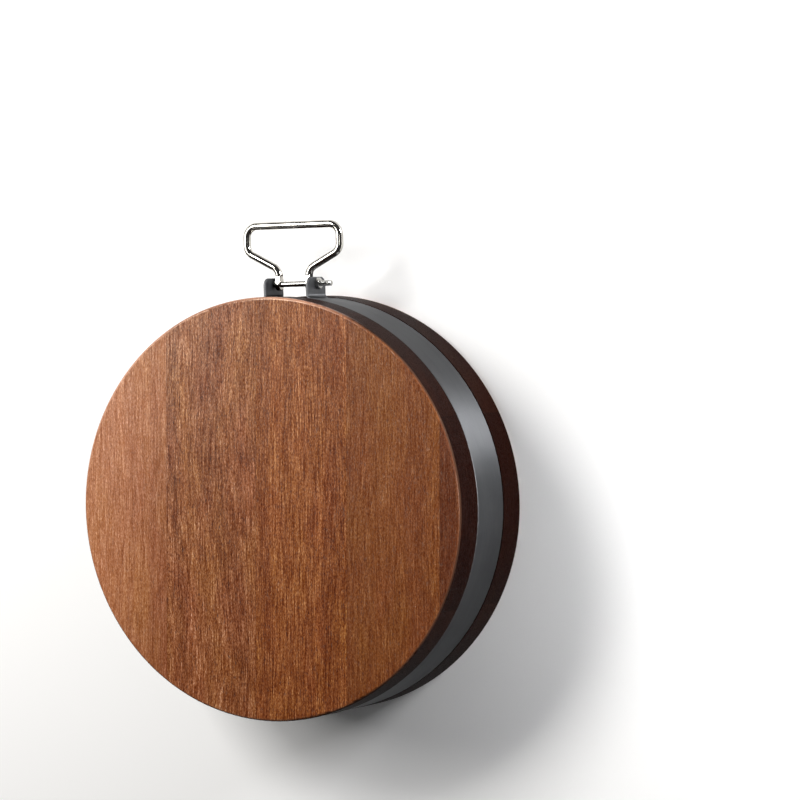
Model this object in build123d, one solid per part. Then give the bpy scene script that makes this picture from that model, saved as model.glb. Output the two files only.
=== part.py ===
"""A round chopping block: edge-glued boards in a steel hoop, with a wire handle on the hoop's bolt.

The block lies flat. The origin is the centre of its lower face, +Z points up through the
chopping face and +Y points out at the handle. All lengths are in millimetres.
"""

import os
from math import sqrt

from build123d import *

# The wooden block
block_diameter = 300.0
block_thickness = 100.0
face_edge_radius = 2.0

# The boards, side by side: the places of their seams across the grain, from the block's axis, as
# shares of its radius, and the angle that the grain makes with the handle's middle line
seam_shares = [-0.547, -0.067, 0.413, 0.893]
grain_turn = -1.87

# The hoop, in its groove halfway up the rim
hoop_width = 42.0
hoop_thickness = 2.0
hoop_edge_radius = 0.5
hoop_recess = 0.2
hoop_seat_gap = 0.1
hoop_side_gap = 0.9

# The ears, which are the hoop's two ends turned outwards
ear_gap = 32.0
ear_width = 27.5
ear_corner_radius = 6.0
ear_bend_radius = 3.0
ear_shoulder = 1.5
ear_root_radius = 3.0
ear_end_margin = 4.7

# The bolt through the ears
bolt_diameter = 4.0
bolt_height = 8.7
bolt_hole_clearance = 0.1
bolt_head_flats = 7.0
bolt_head_height = 2.8
bolt_tail = 8.8
bolt_tip_chamfer = 0.5

# The nut on the bolt
nut_flats = 7.0
nut_height = 3.2
nut_bore_clearance = 0.05
crown_chamfer = 0.45

# The handle, one bent rod. Heights are to the rod's centre line, from the bolt's axis
rod_diameter = 5.5
handle_width = 80.0
handle_height = 45.0
leg_spacing = 24.1
leg_bend_height = 10.6
side_bend_height = 23.5
leg_bend_radius = 8.0
side_bend_radius = 8.0
grip_bend_radius = 8.0

# The flattened eyes at the ends of the rod
eye_diameter = 8.8
eye_thickness = 3.6
eye_edge_radius = 0.8
eye_bore_clearance = 0.075
neck_height = 4.6
neck_width = 6.8
flat_height = 3.8
flat_runout_radius = 7.0

# What every cutting shape reaches past the piece that it cuts
overrun = 5.0

# Sizes that follow from those above
block_radius = block_diameter / 2
middle_height = block_thickness / 2
groove_width = hoop_width + 2 * hoop_side_gap
groove_radius = block_radius - hoop_recess - hoop_thickness - hoop_seat_gap
hoop_radius = groove_radius + hoop_seat_gap + hoop_thickness / 2
bolt_distance = block_radius + bolt_height
ear_centre = (ear_gap + hoop_thickness) / 2
ear_outside = ear_gap / 2 + hoop_thickness
bend_radius = ear_bend_radius + hoop_thickness / 2
bend_distance = sqrt((hoop_radius + bend_radius) ** 2 - (ear_centre + bend_radius) ** 2)
ear_top = bolt_distance + ear_end_margin

# Plane across the bolt: its normal runs along the bolt, to the nut's side
bolt_plane = Plane(origin=(0, bolt_distance, middle_height), x_dir=(0, 1, 0), z_dir=(1, 0, 0))
# Plane of the handle: x along the bolt, y away from the block
handle_plane = Plane(origin=(0, bolt_distance, middle_height), x_dir=(1, 0, 0), z_dir=(0, 0, 1))


def turned_block():
    """The whole disc before it is divided: rounded face edges and the groove for the hoop."""
    groove_low = middle_height - groove_width / 2
    groove_high = middle_height + groove_width / 2
    outline = Polyline(
        (0, 0),
        (block_radius, 0),
        (block_radius, groove_low),
        (groove_radius, groove_low),
        (groove_radius, groove_high),
        (block_radius, groove_high),
        (block_radius, block_thickness),
        (0, block_thickness),
        close=True,
    )
    section = make_face(outline)
    rim_corners = [
        corner
        for corner in section.vertices()
        if corner.X > groove_radius and (corner.Y < groove_low or corner.Y > groove_high)
    ]
    section = fillet(rim_corners, face_edge_radius)
    return revolve(Plane.XZ * section, Axis.Z)


def board(disc, left, right):
    """The length of the disc between two seams, which run with the grain."""
    slab = Box(
        right - left,
        block_diameter + overrun,
        block_thickness + overrun,
        align=(Align.MIN, Align.CENTER, Align.CENTER),
    )
    return disc & (Rot(0, 0, grain_turn) * Pos(left, 0, middle_height) * slab)


def boards():
    """Every board by name, from the left of the chopping face to the right."""
    names = ["left_board", "mid_left_board", "mid_right_board", "right_board", "right_edge_strip"]
    reach = block_radius + overrun
    edges = [-reach, *(share * block_radius for share in seam_shares), reach]
    disc = turned_block()
    return {name: board(disc, edges[i], edges[i + 1]) for i, name in enumerate(names)}


def hoop_path():
    """Centre line of the strip: down the right ear, round the block and up the left ear."""
    bend_centre = Vector(ear_centre + bend_radius, bend_distance)
    ring_end = bend_centre.normalized() * hoop_radius
    lean = bend_centre.get_angle(Vector(1, 0))
    ear = Line((ear_centre, ear_top), (ear_centre, bend_distance))
    bend = RadiusArc((ear_centre, bend_distance), ring_end, -bend_radius)
    ring = CenterArc((0, 0), hoop_radius, lean, -(180 + 2 * lean))
    other_end = mirror([*ear.edges(), *bend.edges()], Plane.YZ)
    return Wire([*ear.edges(), *bend.edges(), *ring.edges(), *other_end.edges()])


def shoulder_trim():
    """What is cut away where the strip narrows to the ears, seen from outside the rim."""
    shoulder = ear_centre + bend_radius + ear_shoulder
    waste_height = (hoop_width - ear_width) / 2 + overrun
    outside = Plane(origin=(0, bolt_distance, middle_height), x_dir=(1, 0, 0), z_dir=(0, 1, 0))
    trims = []
    for turn in (0, 180):
        waste = Rectangle(2 * shoulder, waste_height, align=(Align.CENTER, Align.MIN))
        waste = fillet(waste.vertices().sort_by(Axis.Y)[:2], ear_root_radius)
        waste = outside * Rot(0, 0, turn) * Pos(0, ear_width / 2) * waste
        trims.append(extrude(waste, amount=bolt_height + hoop_thickness + overrun, both=True))
    return trims


def ear_tip_trim():
    """What is cut away round the corners of the ears' ends, seen along the bolt."""
    blank = Pos(ear_end_margin - ear_corner_radius, 0) * Rectangle(
        ear_corner_radius + overrun, ear_width + overrun, align=(Align.MIN, Align.CENTER)
    )
    ear = RectangleRounded(2 * ear_width, ear_width, ear_corner_radius)
    ear = Pos(ear_end_margin - ear_width, 0) * ear
    return extrude(bolt_plane * (blank - ear), amount=ear_outside + overrun, both=True)


def strip_outline(strip):
    """The edges round the strip's two broad sides, without the lines where its bends begin."""
    lines = strip.edges().filter_by(GeomType.LINE)
    bend_lines = lines.filter_by(Axis.Z).filter_by(lambda line: line.length >= ear_width)
    corners = lines.filter_by(Plane.XY).filter_by(lambda line: line.length < 2 * hoop_thickness)
    return strip.edges() - bend_lines - corners


def hoop():
    """The steel strip, its ends bent outwards and trimmed to ears, its edges rounded, drilled."""
    path = Pos(0, 0, middle_height) * hoop_path()
    start = Plane(origin=path @ 0, x_dir=(1, 0, 0), z_dir=path % 0)
    strip = sweep(start * Rectangle(hoop_thickness, hoop_width), path)
    strip = strip - shoulder_trim() - ear_tip_trim()
    strip = fillet(strip_outline(strip), hoop_edge_radius)
    hole = bolt_plane * Cylinder(bolt_diameter / 2 + bolt_hole_clearance, 2 * (ear_outside + overrun))
    return strip - hole


def hexagon(flats, height):
    """A hexagonal bar's slice with its corners chamfered off at both ends, standing on z = 0."""
    prism = extrude(RegularPolygon(flats / 2, 6, major_radius=False), amount=height)
    turning = Cylinder(flats / sqrt(3), height, align=(Align.CENTER, Align.CENTER, Align.MIN))
    return prism & chamfer(turning.edges().filter_by(GeomType.CIRCLE), crown_chamfer)


def handle_bolt():
    """The bolt, with its head outside the left ear and its threaded end past the nut."""
    shank_length = 2 * ear_outside + nut_height + bolt_tail
    shank = Cylinder(bolt_diameter / 2, shank_length, align=(Align.CENTER, Align.CENTER, Align.MIN))
    shank = chamfer(shank.faces().sort_by(Axis.Z)[-1].edges(), bolt_tip_chamfer)
    head = Pos(0, 0, -bolt_head_height) * hexagon(bolt_head_flats, bolt_head_height)
    return bolt_plane * Pos(0, 0, -ear_outside) * (shank + head)


def hoop_nut():
    """The nut against the outside of the right ear."""
    bore = Cylinder(bolt_diameter / 2 + nut_bore_clearance, 2 * (nut_height + overrun))
    return bolt_plane * Pos(0, 0, ear_outside) * (hexagon(nut_flats, nut_height) - bore)


def handle_path():
    """Centre line of the rod in the handle's plane, from one end to the other."""
    leg = leg_spacing / 2
    side = (handle_width - rod_diameter) / 2
    grip = handle_height - rod_diameter / 2
    corners = [
        (-leg, 0),
        (-leg, leg_bend_height),
        (-side, side_bend_height),
        (-side, grip),
        (side, grip),
        (side, side_bend_height),
        (leg, leg_bend_height),
        (leg, 0),
    ]
    radii = [
        leg_bend_radius,
        side_bend_radius,
        grip_bend_radius,
        grip_bend_radius,
        side_bend_radius,
        leg_bend_radius,
    ]
    return FilletPolyline(*corners, radius=radii)


def eye_blank():
    """The flattened end of the rod, a round eye on a neck, centred on the bolt's axis."""
    disc = Circle(eye_diameter / 2)
    neck = make_hull([*disc.edges(), *(Pos(neck_height, 0) * Circle(neck_width / 2)).edges()])
    blank = extrude(neck, amount=eye_thickness / 2, both=True)
    flats = blank.faces().filter_by(Axis.Z)
    return fillet([edge for flat in flats for edge in flat.edges()], eye_edge_radius)


def flat_cutter():
    """What is pressed away on one side of the rod's end, in the handle's plane."""
    start = eye_thickness / 2
    outside = start + flat_runout_radius
    runout_end = flat_height + flat_runout_radius
    profile = make_face(
        [
            Line((start, -eye_diameter), (start, flat_height)),
            RadiusArc((start, flat_height), (outside, runout_end), flat_runout_radius),
            Line((outside, runout_end), (outside, -eye_diameter)),
            Line((outside, -eye_diameter), (start, -eye_diameter)),
        ]
    )
    return extrude(profile, amount=rod_diameter, both=True)


def handle():
    """The bent rod with a flattened, drilled eye at each end."""
    path = handle_path()
    start = Plane(origin=path @ 0, z_dir=path % 0)
    rod = handle_plane * sweep(start * Circle(rod_diameter / 2), path)
    for side in (-1, 1):
        leg = Pos(side * leg_spacing / 2, 0, 0)
        cutter = flat_cutter()
        rod -= handle_plane * leg * cutter
        rod -= handle_plane * leg * mirror(cutter, Plane.YZ)
        rod += bolt_plane * Pos(0, 0, side * leg_spacing / 2) * eye_blank()
    bore = Cylinder(bolt_diameter / 2 + eye_bore_clearance, leg_spacing + 2 * (eye_thickness + overrun))
    return rod - bolt_plane * bore


def main():
    pieces = boards()
    pieces["hoop"] = hoop()
    pieces["handle_bolt"] = handle_bolt()
    pieces["hoop_nut"] = hoop_nut()
    pieces["handle"] = handle()
    os.makedirs("parts", exist_ok=True)
    for name, piece in pieces.items():
        export_step(piece, f"parts/{name}.step")
        solids = piece.solids()
        print(name, len(solids), round(piece.volume), [round(v, 1) for v in piece.bounding_box().size])


main()
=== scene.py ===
from math import cos, pi, radians, sin, sqrt

import bpy
from mathutils import Matrix, Vector


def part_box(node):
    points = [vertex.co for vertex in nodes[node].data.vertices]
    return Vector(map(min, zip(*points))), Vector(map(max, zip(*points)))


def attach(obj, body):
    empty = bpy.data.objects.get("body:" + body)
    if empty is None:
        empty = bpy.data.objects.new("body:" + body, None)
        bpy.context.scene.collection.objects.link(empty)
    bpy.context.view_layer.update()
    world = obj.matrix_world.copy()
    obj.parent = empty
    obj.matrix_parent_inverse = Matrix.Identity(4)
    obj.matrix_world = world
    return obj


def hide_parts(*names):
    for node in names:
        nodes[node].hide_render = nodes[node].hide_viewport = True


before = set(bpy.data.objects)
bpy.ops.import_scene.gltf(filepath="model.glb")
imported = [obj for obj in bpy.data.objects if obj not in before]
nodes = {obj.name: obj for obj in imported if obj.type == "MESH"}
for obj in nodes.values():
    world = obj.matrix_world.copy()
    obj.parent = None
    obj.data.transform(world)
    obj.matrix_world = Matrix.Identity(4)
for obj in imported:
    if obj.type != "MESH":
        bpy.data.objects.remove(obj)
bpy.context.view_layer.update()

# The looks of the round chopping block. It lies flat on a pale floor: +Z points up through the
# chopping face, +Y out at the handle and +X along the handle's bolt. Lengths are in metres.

millimetre = 0.001

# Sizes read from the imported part
block_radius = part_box("mid_right_board")[1].y
block_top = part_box("mid_right_board")[1].z
hoop_low, hoop_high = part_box("hoop")
bolt_low, bolt_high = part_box("handle_bolt")
block_middle = Vector((0, 0, block_top / 2))

# The boards' grain runs along Y, turned by this angle about Z, and their seams stand at these
# shares of the block's radius
grain_turn = radians(-1.87)
seam_shares = (-0.547, -0.067, 0.413, 0.893)
seams = [share * block_radius for share in seam_shares]


# Camera

photo_width_px = 800
focal_length_px = 3993.3
camera_azimuth = radians(26.07)
camera_elevation = radians(2.12)
camera_distance = 2.8166
aim_right = 0.0929
aim_above = 0.0773
sensor_width = 36


def add_camera():
    """The camera as it stood when the block was on its rim with its face to the front.

    In that stance the boards' seams stood upright, so the picture's up runs along the grain."""
    across = Vector((cos(grain_turn), sin(grain_turn), 0))
    upward = Vector((-sin(grain_turn), cos(grain_turn), 0))
    face_normal = Vector((0, 0, 1))
    back = (
        across * sin(camera_azimuth) * cos(camera_elevation)
        + face_normal * cos(camera_azimuth) * cos(camera_elevation)
        + upward * sin(camera_elevation)
    )
    right = upward.cross(back).normalized()
    up = back.cross(right)
    face_centre = Vector((0, 0, block_top))
    place = face_centre + right * aim_right + up * aim_above + back * camera_distance
    data = bpy.data.cameras.new("camera")
    data.sensor_width = sensor_width
    data.lens = focal_length_px / photo_width_px * sensor_width
    camera = bpy.data.objects.new("camera", data)
    bpy.context.scene.collection.objects.link(camera)
    turn = Matrix((right, up, back)).transposed().to_4x4()
    camera.matrix_world = Matrix.Translation(place) @ turn
    bpy.context.scene.camera = camera


# Procedural materials

# The standard curve from a display's values to light: a straight toe, and then a power
display_white = 255
toe_end = 0.04045
toe_slope = 12.92
curve_offset = 0.055
curve_power = 2.4

# What a noise's colour is on average
noise_middle = (0.5, 0.5, 0.5)


def linear(value):
    """A display value from 0 to 255 in the linear values of a shader."""
    share = value / display_white
    if share <= toe_end:
        return share / toe_slope
    return ((share + curve_offset) / (1 + curve_offset)) ** curve_power


def display(red, green, blue):
    return linear(red), linear(green), linear(blue), 1


class Shader:
    """One material's node tree, written as calls that each add a node and return its output."""

    def __init__(self, name):
        self.material = bpy.data.materials.new(name)
        self.material.use_nodes = True
        self.tree = self.material.node_tree
        self.tree.nodes.clear()
        output = self.tree.nodes.new("ShaderNodeOutputMaterial")
        self.surface = self.tree.nodes.new("ShaderNodeBsdfPrincipled")
        self.tree.links.new(self.surface.outputs["BSDF"], output.inputs["Surface"])

    def feed(self, socket, value):
        if isinstance(value, bpy.types.NodeSocket):
            self.tree.links.new(value, socket)
        else:
            socket.default_value = value

    def node(self, kind, *values, **settings):
        made = self.tree.nodes.new(kind)
        for name, value in settings.items():
            setattr(made, name, value)
        for socket, value in zip(made.inputs, values):
            if value is not None:
                self.feed(socket, value)
        return made

    def set(self, **inputs):
        for name, value in inputs.items():
            self.feed(self.surface.inputs[name.replace("_", " ")], value)

    def math(self, operation, *values):
        return self.node("ShaderNodeMath", *values, operation=operation).outputs[0]

    def plus(self, first, second):
        return self.math("ADD", first, second)

    def less(self, first, second):
        return self.math("SUBTRACT", first, second)

    def times(self, first, second):
        return self.math("MULTIPLY", first, second)

    def size(self, value):
        return self.math("ABSOLUTE", value)

    def length(self, first, second):
        """The length of the two values' diagonal."""
        return self.math("SQRT", self.plus(self.times(first, first), self.times(second, second)))

    def vector(self, operation, first, second):
        made = self.node("ShaderNodeVectorMath", first, second, operation=operation)
        return made.outputs["Value" if operation == "DOT_PRODUCT" else "Vector"]

    def place(self):
        return self.node("ShaderNodeTexCoord").outputs["Object"]

    def normal(self):
        return self.node("ShaderNodeTexCoord").outputs["Normal"]

    def split(self, vector):
        return self.node("ShaderNodeSeparateXYZ", vector).outputs[:3]

    def join(self, x, y, z):
        return self.node("ShaderNodeCombineXYZ", x, y, z).outputs[0]

    def stretch(self, vector, *shares):
        return self.vector("MULTIPLY", vector, shares)

    def turn(self, vector, angle):
        """The vector turned about Z."""
        made = self.node("ShaderNodeVectorRotate", vector, None, None, angle, rotation_type="Z_AXIS")
        return made.outputs[0]

    def noise(self, where, size, detail, roughness):
        """Noise from 0 to 1 whose features are about this size, and its colour of three noises."""
        made = self.node("ShaderNodeTexNoise")
        self.feed(made.inputs["Vector"], where)
        made.inputs["Scale"].default_value = 1 / size
        made.inputs["Detail"].default_value = detail
        made.inputs["Roughness"].default_value = roughness
        return made.outputs["Fac"], made.outputs["Color"]

    def shake(self, where, reach, kind):
        """Sideways moves of about this reach, from a noise of this size, detail and roughness."""
        _, moves = self.noise(where, *kind)
        moves = self.vector("SUBTRACT", moves, noise_middle)
        return self.vector("MULTIPLY", moves, (reach, 0, reach))

    def spread(self, value, low, high):
        """0 at low, 1 at high and a straight ramp between; low may be the larger."""
        return self.node("ShaderNodeMapRange", value, low, high, 0.0, 1.0, clamp=True).outputs[0]

    def smooth(self, value, low, high):
        """As spread, with a ramp that starts and ends softly."""
        made = self.node("ShaderNodeMapRange", value, low, high, 0.0, 1.0)
        made.interpolation_type = "SMOOTHSTEP"
        return made.outputs[0]

    def mix(self, share, first, second, blend="MIX"):
        """A colour between two others, or their blend."""
        made = self.node("ShaderNodeMix", data_type="RGBA", blend_type=blend)
        colours = [socket for socket in made.inputs if socket.type == "RGBA"]
        self.feed(made.inputs[0], share)
        self.feed(colours[0], first)
        self.feed(colours[1], second)
        return next(socket for socket in made.outputs if socket.type == "RGBA")

    def tint(self, share, tone, factors):
        """The tone multiplied by a colour, by this share."""
        return self.mix(share, tone, factors, "MULTIPLY")

    def bump(self, *layers):
        """Relief from pairs of height, from 0 to 1, and depth in metres."""
        normal = None
        for height, depth in layers:
            made = self.node("ShaderNodeBump")
            made.inputs["Strength"].default_value = 1
            made.inputs["Distance"].default_value = depth
            self.feed(made.inputs["Height"], height)
            if normal is not None:
                self.feed(made.inputs["Normal"], normal)
            normal = made.outputs["Normal"]
        self.set(Normal=normal)


def paint(piece, material):
    piece.data.materials.clear()
    piece.data.materials.append(material)


# Wood

# Each noise's size across the grain in metres, its detail and its roughness
wander_noise = (0.03, 2, 0.5)
swirl_noise = (0.07, 1, 0.5)
band_noise = (0.009, 2, 0.55)
stripe_noise = (0.001, 3, 0.65)
blotch_noise = (0.06, 3, 0.5)
hue_noise = (0.022, 3, 0.55)
streak_noise = (0.0008, 3, 0.6)
fleck_noise = (0.0006, 2, 0.6)
pore_noise = (0.0007, 1, 0.5)

# How much each noise is drawn out along the grain: the smaller the share, the longer
wander_share = 0.22
swirl_share = 0.4
band_share = 0.02
stripe_share = 0.04
blotch_share = 0.35
hue_share = 0.3
streak_share = 0.04
fleck_share = 0.3
pore_share = 0.18

# How far the fibres wander sideways, and how much further the growth layers do
wander_reach = 0.007
swirl_reach = 0.03

# The value at which each layer begins and the value at which it is full
band_ramp = (0.36, 0.64)
golden_ramp = (0.48, 0.66)
rosy_ramp = (0.52, 0.34)
blotch_ramp = (0.4, 0.68)
pale_stripe_ramp = (0.54, 0.62)
dark_stripe_ramp = (0.46, 0.38)
pale_streak_ramp = (0.52, 0.62)
dark_streak_ramp = (0.48, 0.38)
fleck_ramp = (0.52, 0.6)
pore_ramp = (0.6, 0.72)
pale_edge_ramp = (0.1, 0.7)
glint_ramp = (0.36, 0.64)

# How strongly each layer shows
hue_weight = 0.7
blotch_weight = 0.25
pale_stripe_weight = 0.5
dark_stripe_weight = 0.45
pale_streak_weight = 0.5
dark_streak_weight = 0.55
fleck_weight = 0.8
pore_weight = 0.6
glue_line_weight = 0.75
worn_weight = 0.15
# The painted highlight on the edge towards the handle
painted_highlight_weight = 0.6

# What a tone is multiplied by where the wood is paler, darker, more golden or more rosy, by how
# much painted shade darkens the rim, and by how much oil darkens the open end grain
pale_factors = (1.6, 2.05, 2.8, 1)
dark_factors = (0.55, 0.38, 0.2, 1)
pore_factors = (0.42, 0.27, 0.14, 1)
golden_factors = (1.06, 1.12, 0.86, 1)
rosy_factors = (0.98, 0.86, 0.92, 1)
rim_shade_factors = (0.075, 0.045, 0.034, 1)
end_grain_factors = (0.7, 0.66, 0.64, 1)
oil_tint = (1, 0.86, 0.72, 1)

glue_line_width = 0.35 * millimetre

# Painted shade darkens the rim between these depths below a face, and the face's edge is painted
# pale, as wear and as a painted highlight, where radius plus height comes this near to a sharp
# corner's
rim_from = 2 * millimetre
rim_to = 4 * millimetre
pale_edge_from = 1.9 * millimetre
pale_edge_to = 1.35 * millimetre
# Pale wood for the edge's wear and its painted highlight
worn_and_highlit_wood = display(196, 148, 122)

# How upright a surface is where the edge turns into the rim, and how far it faces along the
# grain where end grain shows
edge_turn_ramp = (0.99, 0.6)
end_grain_ramp = (0.35, 0.95)

# A painted highlight lies along the face's edge on this side, beyond these shares of the radius
highlight_direction = (-0.5, 0.87)
highlight_ramp_shares = (0.45, 0.8)

# Roughness, and what each feature adds to it or takes from it
plain_roughness = 0.22
fine_roughness = 0.12
pore_roughness = 0.2
end_grain_roughness = 0.12
worn_polish = 0.1

# The face's specular level, what the rim loses of it, and its share where no fibre glints
face_shine = 0.54
rim_shine_loss = 0.53
dull_share = 0.2

# The relief's depths
pore_depth = 0.04 * millimetre
fleck_depth = 0.03 * millimetre
streak_depth = 0.025 * millimetre


def wood(name, pith, shift, pale, mid, dark, figure, waviness, contrast, outer_pale=0.0):
    """One board's wood, cut from its own place in a log, so that face, rim and end grain agree.

    pith is the log's middle in the board's section, and shift sets this board's noise apart from
    the others'. figure and waviness are how much the growth layers and the fibres wander, contrast
    is how strong the grain is, and outer_pale is how much paler the board gets towards the block's
    left."""
    s = Shader(name)
    here = s.place()
    turned = s.turn(here, -grain_turn)
    across, along, height = s.split(turned)
    own = s.vector("ADD", turned, shift)

    # The fibres wander sideways, and the growth layers wander more than the fibres
    wander = s.shake(s.stretch(own, 1, wander_share, 1), wander_reach * waviness, wander_noise)
    swirl = s.shake(s.stretch(own, 1, swirl_share, 1), swirl_reach * figure, swirl_noise)
    bent = s.vector("ADD", own, wander)
    log_x, _, log_z = s.split(s.vector("ADD", s.vector("ADD", turned, wander), swirl))
    age = s.length(s.less(log_x, pith[0]), s.less(log_z, pith[1]))

    # Growth layers, stripes, blotches, hues, streaks, flecks and pores
    bands, _ = s.noise(s.join(age, shift[0], s.times(along, band_share)), *band_noise)
    stripes, _ = s.noise(s.join(age, shift[1], s.times(along, stripe_share)), *stripe_noise)
    blotch, _ = s.noise(s.stretch(own, 1, blotch_share, 1), *blotch_noise)
    hue, _ = s.noise(s.stretch(bent, 1, hue_share, 1), *hue_noise)
    streaks, _ = s.noise(s.stretch(bent, 1, streak_share, 1), *streak_noise)
    _, flecks = s.noise(s.stretch(bent, 1, fleck_share, 1), *fleck_noise)
    pale_fleck, dark_fleck, fine = s.split(flecks)
    pores, _ = s.noise(s.stretch(bent, 1, pore_share, 1), *pore_noise)
    pore = s.smooth(pores, *pore_ramp)

    tone = s.mix(s.smooth(bands, *band_ramp), dark, mid)
    tone = s.tint(s.times(s.smooth(hue, *golden_ramp), hue_weight), tone, golden_factors)
    tone = s.tint(s.times(s.smooth(hue, *rosy_ramp), hue_weight), tone, rosy_factors)
    tone = s.mix(s.times(s.smooth(blotch, *blotch_ramp), blotch_weight), tone, pale)
    tone = s.mix(s.times(s.smooth(across, seams[0], -block_radius), outer_pale), tone, pale)
    layers = [
        (stripes, pale_stripe_ramp, pale_stripe_weight, pale_factors),
        (stripes, dark_stripe_ramp, dark_stripe_weight, dark_factors),
        (streaks, pale_streak_ramp, pale_streak_weight, pale_factors),
        (streaks, dark_streak_ramp, dark_streak_weight, dark_factors),
        (pale_fleck, fleck_ramp, fleck_weight, pale_factors),
        (dark_fleck, fleck_ramp, fleck_weight, dark_factors),
    ]
    for value, ramp, weight, factors in layers:
        tone = s.tint(s.times(s.spread(value, *ramp), weight * contrast), tone, factors)
    tone = s.tint(s.times(pore, pore_weight * contrast), tone, pore_factors)

    # Painted shade darkens the rim, and oil darkens the open end grain further. The edge towards the
    # handle is kept out of the painted shade, so that its painted highlight stays pale.
    facing = s.normal()
    _, _, upward = s.split(facing)
    endwise = s.size(s.vector("DOT_PRODUCT", facing, (-sin(grain_turn), cos(grain_turn), 0)))
    end_grain = s.smooth(endwise, *end_grain_ramp)
    off_middle = s.size(s.less(height, block_top / 2))
    below_face = s.smooth(off_middle, block_top / 2 - rim_from, block_top / 2 - rim_to)
    x, y, _ = s.split(here)
    towards_highlight = s.plus(s.times(x, highlight_direction[0]), s.times(y, highlight_direction[1]))
    highlight_side = s.smooth(towards_highlight, *[share * block_radius for share in highlight_ramp_shares])
    turned_down = s.times(s.smooth(s.size(upward), *edge_turn_ramp), s.less(1.0, highlight_side))
    rim = s.math("MAXIMUM", turned_down, below_face)
    # Painted shade on the rim
    tone = s.tint(rim, tone, rim_shade_factors)
    tone = s.tint(end_grain, tone, end_grain_factors)

    # The glue lines
    for seam in seams:
        off = s.size(s.less(across, seam))
        line = s.times(s.smooth(off, glue_line_width, 0.0), glue_line_weight)
        tone = s.tint(line, tone, pore_factors)

    # Each face's rounded edge is rubbed pale in places, and a painted highlight makes it paler on the
    # side towards the handle
    corner = s.plus(s.length(x, y), off_middle)
    sharpest = block_radius + block_top / 2
    edge_wear_and_highlight = s.smooth(corner, sharpest - pale_edge_from, sharpest - pale_edge_to)
    edge_wear_and_highlight = s.times(edge_wear_and_highlight, s.spread(blotch, *pale_edge_ramp))
    wear_and_highlight_share = s.plus(worn_weight, s.times(highlight_side, painted_highlight_weight))
    tone = s.mix(s.times(edge_wear_and_highlight, wear_and_highlight_share), tone, worn_and_highlit_wood)

    rough = s.plus(plain_roughness, s.times(fine, fine_roughness))
    rough = s.plus(rough, s.times(pore, pore_roughness))
    rough = s.plus(rough, s.times(end_grain, end_grain_roughness))
    rough = s.less(rough, s.times(edge_wear_and_highlight, worn_polish))
    glint = s.plus(s.spread(streaks, *glint_ramp), s.spread(pale_fleck, *glint_ramp))
    glint = s.plus(dull_share, s.times(glint, 1 - dull_share))
    shine = s.times(s.less(face_shine, s.times(rim, rim_shine_loss)), glint)
    s.set(Base_Color=tone, Roughness=rough, Specular_IOR_Level=shine, Specular_Tint=oil_tint)
    s.bump(
        (s.less(1.0, pore), pore_depth),
        (pale_fleck, fleck_depth),
        (streaks, streak_depth),
    )
    return s.material


def board_materials():
    looks = {
        "left_board": wood(
            "left_board_wood", (0.35, -0.3), (1.3, 0.2, 0.7),
            display(178, 113, 72), display(146, 88, 50), display(126, 69, 36),
            figure=0.6, waviness=0.8, contrast=0.8, outer_pale=0.45,
        ),
        "mid_left_board": wood(
            "mid_left_board_wood", (-0.22, -0.08), (4.1, 0.9, 2.3),
            display(139, 82, 46), display(133, 75, 38), display(114, 59, 26),
            figure=1.1, waviness=1.4, contrast=1.5,
        ),
        "mid_right_board": wood(
            "mid_right_board_wood", (0.5, 0.15), (7.7, 0.4, 5.2),
            display(140, 78, 36), display(130, 70, 28), display(109, 52, 18),
            figure=0.5, waviness=0.8, contrast=1.45,
        ),
        "right_board": wood(
            "right_board_wood", (0.6, -0.5), (9.2, 0.1, 3.9),
            display(128, 70, 31), display(114, 60, 23), display(101, 49, 18),
            figure=0.7, waviness=0.9, contrast=0.9,
        ),
        "right_edge_strip": wood(
            "right_edge_strip_wood", (0.4, -0.3), (12.4, 0.6, 8.1),
            display(111, 55, 24), display(97, 46, 17), display(87, 39, 13),
            figure=0.5, waviness=0.7, contrast=0.85,
        ),
    }
    for name, material in looks.items():
        paint(nodes[name], material)


# Metal

# A quarter of a turn: brushed steel spreads a light across its lines
across_the_lines = 0.25

# The hoop. Each noise has its size in metres, its detail and its roughness, and each share says
# how much a noise is drawn out along the strip
brush_noise = (0.16 * millimetre, 3, 0.65)
brush_share = 0.012
sheen_noise = (4 * millimetre, 2, 0.5)
sheen_share = 0.1
stain_noise = (30 * millimetre, 3, 0.55)
brush_ramp = (0.3, 0.7)
# The steel's tones are painted far darker than bare steel: painted shade, which keeps the hoop dark
# where it mirrors the pale floor
shaded_brush_dark = display(73, 74, 76)
shaded_brush_pale = display(89, 90, 92)
stain_ramp = (0.4, 0.7)
stain_weight = 0.3
shaded_stain_tone = display(64, 66, 69)
# The strip's rounded edges are painted paler than the rest: a painted highlight
edge_from = 0.8 * millimetre
edge_to = 0.3 * millimetre
painted_edge_highlight_tone = display(110, 110, 111)
hoop_roughness = 0.37
brush_roughness = 0.14
sheen_roughness = 0.08
edge_roughness = 0.2
hoop_anisotropy = 0.9
brush_depth = 0.004 * millimetre


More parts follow.
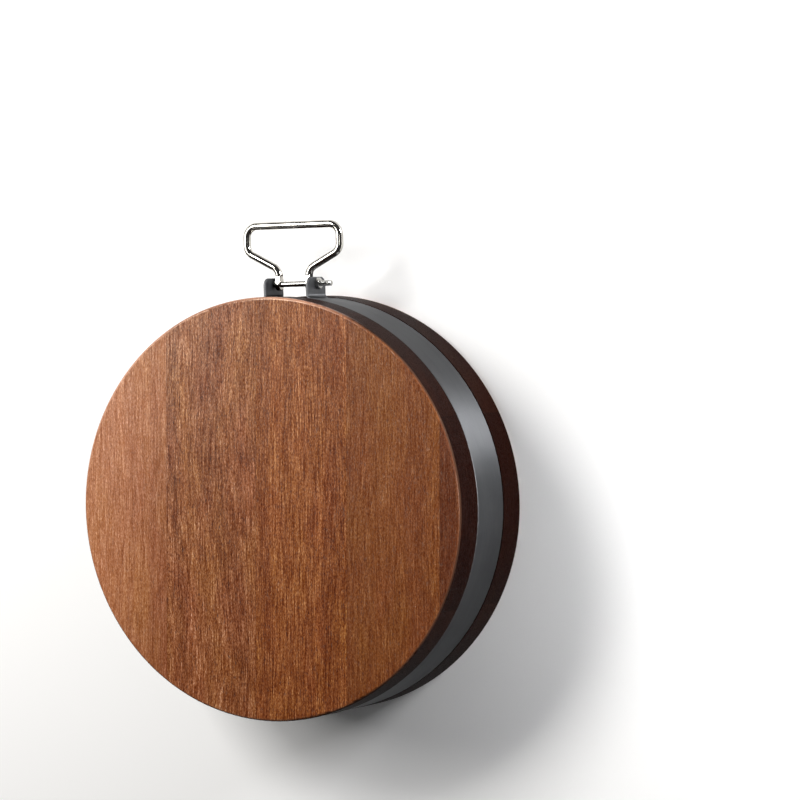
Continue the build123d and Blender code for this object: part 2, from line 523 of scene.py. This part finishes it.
def brushed_steel():
    """The hoop's satin steel, brushed along the strip, painted dark as shade, with painted highlights
    on its edges.
    """
    s = Shader("hoop_steel")
    here = s.place()
    _, _, height = s.split(here)
    lines, _ = s.noise(s.stretch(here, brush_share, brush_share, 1), *brush_noise)
    sheen, _ = s.noise(s.stretch(here, sheen_share, sheen_share, 1), *sheen_noise)
    stain, _ = s.noise(here, *stain_noise)
    tone = s.mix(s.spread(lines, *brush_ramp), shaded_brush_dark, shaded_brush_pale)
    tone = s.mix(s.times(s.smooth(stain, *stain_ramp), stain_weight), tone, shaded_stain_tone)
    off_middle = s.size(s.less(height, block_middle.z))
    half_width = (hoop_high.z - hoop_low.z) / 2
    edge = s.smooth(off_middle, half_width - edge_from, half_width - edge_to)
    # Painted highlight on the edges
    tone = s.mix(edge, tone, painted_edge_highlight_tone)
    rough = s.plus(hoop_roughness, s.times(lines, brush_roughness))
    rough = s.plus(rough, s.times(s.less(sheen, noise_middle[0]), sheen_roughness))
    rough = s.plus(rough, s.times(edge, edge_roughness))
    tangent = s.node("ShaderNodeTangent", direction_type="RADIAL", axis="Z").outputs[0]
    s.set(Base_Color=tone, Metallic=1.0, Roughness=rough, Tangent=tangent)
    s.set(Anisotropic=hoop_anisotropy, Anisotropic_Rotation=across_the_lines)
    s.bump((lines, brush_depth))
    return s.material


# Bright steel: each piece's material, bright and dull tone, roughness and the scratches' size
nut_look = ("nut_steel", display(190, 189, 185), display(150, 149, 146), 0.2, 0.4 * millimetre)
handle_look = ("handle_steel", display(200, 197, 190), display(165, 162, 156), 0.06, 0.5 * millimetre)
bolt_look = ("bolt_steel", display(200, 199, 194), display(150, 149, 146), 0.16, 0.4 * millimetre)

# How much the scratches are drawn out, and what they and the smudges do to the roughness
lengthwise_shares = (1, 1, 0.08)
crosswise_shares = (0.1, 1, 1)
scratch_detail = 3
scratch_breakup = 0.6
scratch_ramp = (0.5, 0.8)
smudge_noise = (6 * millimetre, 3, 0.6)
smudge_tone_ramp = (0.35, 0.7)
smudge_roughness_ramp = (0.4, 0.8)
uneven_noise = (4 * millimetre, 1, 0.4)
scratch_roughness = 0.08
smudge_roughness = 0.06
uneven_depth = 0.02 * millimetre
scratch_depth = 0.0015 * millimetre


def polished_steel(name, bright, dull, roughness, scratch_size):
    """Bright steel with fine scratches and the faint unevenness of a polished rod."""
    s = Shader(name)
    here = s.place()
    scratch_noise = (scratch_size, scratch_detail, scratch_breakup)
    lengthwise, _ = s.noise(s.stretch(here, *lengthwise_shares), *scratch_noise)
    crosswise, _ = s.noise(s.stretch(here, *crosswise_shares), *scratch_noise)
    smudge, _ = s.noise(here, *smudge_noise)
    uneven, _ = s.noise(here, *uneven_noise)
    scratches = s.plus(s.spread(lengthwise, *scratch_ramp), s.spread(crosswise, *scratch_ramp))
    tone = s.mix(s.smooth(smudge, *smudge_tone_ramp), bright, dull)
    rough = s.plus(roughness, s.times(scratches, scratch_roughness))
    rough = s.plus(rough, s.times(s.smooth(smudge, *smudge_roughness_ramp), smudge_roughness))
    s.set(Base_Color=tone, Metallic=1.0, Roughness=rough)
    s.bump((uneven, uneven_depth), (lengthwise, scratch_depth))
    return s.material


# The bolt, with its rolled thread. Its shank, head and chamfers have the part's sizes.

shank_radius = 2 * millimetre
thread_pitch = 0.7 * millimetre
thread_depth = 0.36 * millimetre
thread_start = 14 * millimetre
tip_chamfer = 0.5 * millimetre
head_height = 2.8 * millimetre
crown_chamfer = 0.45 * millimetre
steps_round = 48
steps_per_pitch = 8
crown_steps = 3
thread_flank = 1.25
sharp_angle = radians(35)


def head_rings(angles):
    """The hexagonal head from its crowned face to its underside."""
    flats = bolt_high.z - bolt_low.z
    crown = flats / sqrt(3) - crown_chamfer
    hexagon = [flats / 2 / cos(angle % (pi / 3) - pi / 6) for angle in angles]
    depths = [crown_chamfer * step / crown_steps for step in range(crown_steps + 1)]

    def ring(x, depth):
        return x, [min(corner, crown + depth) for corner in hexagon]

    rings = [ring(bolt_low.x + depth, depth) for depth in depths]
    rings += [ring(bolt_low.x + head_height - depth, depth) for depth in reversed(depths)]
    return rings


def thread_rings(angles):
    """The shank with a thread that fades in over its first turn and a chamfered tip."""
    step_length = thread_pitch / steps_per_pitch
    count = int((bolt_high.x - thread_start) / step_length)
    rings = [(bolt_low.x + head_height, [shank_radius] * len(angles))]
    for step in range(count + 1):
        x = bolt_high.x - (count - step) * step_length
        fade = min(1, step / steps_per_pitch)
        tip = shank_radius - max(0, tip_chamfer - (bolt_high.x - x))
        radii = []
        for angle in angles:
            phase = (x / thread_pitch + angle / (2 * pi)) % 1
            rise = min(1, abs(2 * phase - 1) * thread_flank)
            radii.append(min(tip, shank_radius - thread_depth * fade * (1 - rise)))
        rings.append((x, radii))
    return rings


def threaded_bolt():
    angles = [2 * pi * step / steps_round for step in range(steps_round)]
    rings = head_rings(angles) + thread_rings(angles)
    centre_y = (bolt_low.y + bolt_high.y) / 2
    centre_z = (bolt_low.z + bolt_high.z) / 2
    points = [
        (x, centre_y + radius * sin(angle), centre_z + radius * cos(angle))
        for x, radii in rings
        for angle, radius in zip(angles, radii)
    ]
    faces = []
    for low in range(0, len(points) - steps_round, steps_round):
        high = low + steps_round
        for step in range(steps_round):
            following = (step + 1) % steps_round
            faces.append((low + step, high + step, high + following, low + following))
    faces.append(range(steps_round))
    faces.append(range(len(points) - 1, len(points) - 1 - steps_round, -1))
    mesh = bpy.data.meshes.new("threaded_bolt")
    mesh.from_pydata(points, [], faces)
    mesh.shade_smooth()
    mesh.set_sharp_from_angle(angle=sharp_angle)
    piece = bpy.data.objects.new("threaded_bolt", mesh)
    bpy.context.scene.collection.objects.link(piece)
    paint(piece, polished_steel(*bolt_look))
    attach(piece, "block")
    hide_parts("handle_bolt")


# Studio

# The floor shows in one shade and lights the block with another
floor_size = 12
floor_shade = 0.95
bounce_shade = 0.3
paper_roughness = 0.9
world_level = 0.06


def floor_paper():
    """Pale paper, which throws less light back on the block than it shows."""
    s = Shader("floor_paper")
    rays = s.node("ShaderNodeLightPath").outputs
    shown = s.math("MAXIMUM", rays["Is Camera Ray"], rays["Is Glossy Ray"])
    shown = s.math("MAXIMUM", shown, rays["Is Transmission Ray"])
    bounced = (bounce_shade, bounce_shade, bounce_shade, 1)
    pale = (floor_shade, floor_shade, floor_shade, 1)
    s.set(Base_Color=s.mix(shown, bounced, pale), Roughness=paper_roughness, Specular_IOR_Level=0.0)
    return s.material


def add_floor():
    half = floor_size / 2
    corners = [(-half, -half, 0), (half, -half, 0), (half, half, 0), (-half, half, 0)]
    mesh = bpy.data.meshes.new("floor")
    mesh.from_pydata(corners, [], [(0, 1, 2, 3)])
    floor = bpy.data.objects.new("floor", mesh)
    bpy.context.scene.collection.objects.link(floor)
    paint(floor, floor_paper())


# Lamps: each one's place, width, height, power in watts and colour
warm_white = (1, 0.985, 0.96)
plain_white = (1, 1, 1)
cool_white = (0.99, 0.99, 1)
lamps = {
    "key_softbox": ((-0.85, 0.3, 0.95), 0.5, 0.5, 7, warm_white),
    "upper_softbox": ((-0.5, 0.62, 1.0), 0.45, 0.45, 12.3, warm_white),
    "front_fill": ((-0.6, -1.2, 1.2), 0.8, 0.6, 1, plain_white),
    "rim_light": ((1.25, 0.66, 0.22), 0.45, 0.25, 27, cool_white),
}

# A narrow lamp that brightens the floor on the block's right
floor_light = ((0.75, 0.05, 1.3), 0.4, 0.4, 1.2, plain_white)
floor_light_target = (0.6, 0.05, 0)
floor_light_spread = radians(40)


def add_lamp(name, place, width, height, power, colour, target=block_middle, spread=pi):
    """A soft rectangular lamp, turned to the block's middle or another place."""
    data = bpy.data.lights.new(name, "AREA")
    data.shape = "RECTANGLE"
    data.size = width
    data.size_y = height
    data.energy = power
    data.color = colour
    data.spread = spread
    lamp = bpy.data.objects.new(name, data)
    bpy.context.scene.collection.objects.link(lamp)
    lamp.location = place
    lamp.rotation_mode = "QUATERNION"
    lamp.rotation_quaternion = (Vector(place) - Vector(target)).to_track_quat("Z", "Y")


def add_studio():
    add_floor()
    for name, settings in lamps.items():
        add_lamp(name, *settings)
    add_lamp("floor_light", *floor_light, floor_light_target, floor_light_spread)
    world = bpy.data.worlds.new("studio")
    bpy.context.scene.world = world
    world.use_nodes = True
    background = world.node_tree.nodes["Background"]
    background.inputs["Color"].default_value = (*plain_white, 1)
    background.inputs["Strength"].default_value = world_level


add_camera()
board_materials()
paint(nodes["hoop"], brushed_steel())
paint(nodes["hoop_nut"], polished_steel(*nut_look))
paint(nodes["handle"], polished_steel(*handle_look))
threaded_bolt()
add_studio()
bpy.context.scene.view_settings.view_transform = "Standard"
